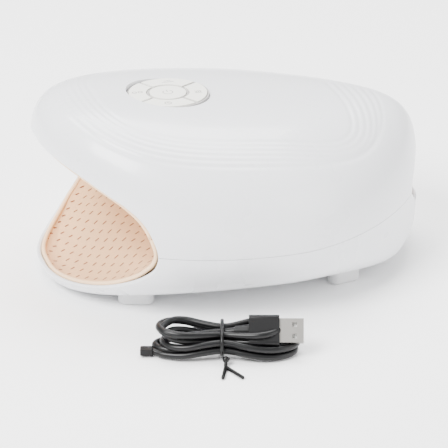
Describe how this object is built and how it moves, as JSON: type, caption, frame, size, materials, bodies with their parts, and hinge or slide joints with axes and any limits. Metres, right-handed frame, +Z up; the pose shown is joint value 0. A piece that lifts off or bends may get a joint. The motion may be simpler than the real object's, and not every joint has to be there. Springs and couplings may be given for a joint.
{
  "type": "hand massager",
  "caption": "Egg-shaped tabletop hand massager with a fabric-lined mouth and hand tunnel, round key panel on top, rubber feet and a tied charging cable.",
  "frame": {"origin": "on the floor, under the middle of the pod's box, cable left out", "axes": "+X to the rear opening, -X to the mouth, +Z up"},
  "size_m": [0.2097, 0.2316, 0.1004],
  "materials": {
    "white_abs": "satin gloss",
    "panel_grey": "matte",
    "key_ivory": "satin",
    "mesh_fabric": "perforated knit",
    "silicone": "matte",
    "circuit_board": "satin",
    "bag_film": "satin",
    "frame_plastic": "matte",
    "heater": "satin",
    "steel": "zinc plated",
    "foot_rubber": "matte",
    "pump_plastic": "matte",
    "pouch": "satin",
    "foam": "foam",
    "cord_pvc": "satin",
    "plug_nickel": "nickel plated",
    "tie_plastic": "satin"
  },
  "bodies": {
    "housing": {"upper_shell": "white_abs", "lower_shell": "white_abs", "panel_base": "panel_grey", "key_mat": "silicone", "control_board": "circuit_board", "main_board": "circuit_board", "board_screws": "steel", "upper_frame": "frame_plastic", "lower_frame": "frame_plastic", "back_air_bag": "bag_film", "palm_air_bag": "bag_film", "heating_film": "heater", "palm_fabric": "mesh_fabric", "back_fabric": "mesh_fabric", "pump_motor": "steel", "pump_head": "pump_plastic", "pump_diaphragm": "silicone", "palm_valve": "pump_plastic", "back_valve": "pump_plastic", "hose_tee": "pump_plastic", "feed_hoses": "silicone", "back_bag_hose": "silicone", "palm_bag_hose": "silicone", "battery_pack": "pouch", "battery_foam": "foam", "charge_port": "steel", "charge_board": "circuit_board", "case_screws": "steel", "front_left_foot": "foot_rubber", "front_right_foot": "foot_rubber", "rear_left_foot": "foot_rubber", "rear_right_foot": "foot_rubber"},
    "power_key_body": {"power_key": "key_ivory"},
    "heat_key_body": {"heat_key": "key_ivory"},
    "mode_key_body": {"mode_key": "key_ivory"},
    "strength_key_body": {"strength_key": "key_ivory"},
    "timer_key_body": {"timer_key": "key_ivory"},
    "pump_rotor": {"pump_eccentric": "steel"},
    "palm_plunger_body": {"palm_valve_plunger": "steel"},
    "back_plunger_body": {"back_valve_plunger": "steel"},
    "charging_cable": {"cable_hank": "cord_pvc", "usb_grip": "cord_pvc", "usb_shell": "plug_nickel", "usb_insert": "pump_plastic", "cable_relief": "cord_pvc", "device_plug": "cord_pvc", "twist_tie": "tie_plastic"}
  },
  "joints": [
    {"name": "power_key_press", "type": "slide", "parent": "housing", "child": "power_key_body", "axis": [0, 0, -1], "range_m": [0, 0.0006], "stiffness_N_per_m": 900},
    {"name": "heat_key_press", "type": "slide", "parent": "housing", "child": "heat_key_body", "axis": [0, 0, -1], "range_m": [0, 0.0006], "stiffness_N_per_m": 900},
    {"name": "mode_key_press", "type": "slide", "parent": "housing", "child": "mode_key_body", "axis": [0, 0, -1], "range_m": [0, 0.0006], "stiffness_N_per_m": 900},
    {"name": "strength_key_press", "type": "slide", "parent": "housing", "child": "strength_key_body", "axis": [0, 0, -1], "range_m": [0, 0.0006], "stiffness_N_per_m": 900},
    {"name": "timer_key_press", "type": "slide", "parent": "housing", "child": "timer_key_body", "axis": [0, 0, -1], "range_m": [0, 0.0006], "stiffness_N_per_m": 900},
    {"name": "pump_shaft_spin", "type": "hinge", "parent": "housing", "child": "pump_rotor", "pos_m": [0.02, 0, 0.0798], "axis": [1, 0, 0], "continuous": true},
    {"name": "palm_valve_lift", "type": "slide", "parent": "housing", "child": "palm_plunger_body", "axis": [1, 0, 0], "range_m": [0, 0.0012], "stiffness_N_per_m": 200},
    {"name": "back_valve_lift", "type": "slide", "parent": "housing", "child": "back_plunger_body", "axis": [1, 0, 0], "range_m": [0, 0.0012], "stiffness_N_per_m": 200},
    {"name": "cable_pull_away", "type": "slide", "parent": "housing", "child": "charging_cable", "axis": [0, -1, 0], "range_m": [0, 0.2]}
  ]
}
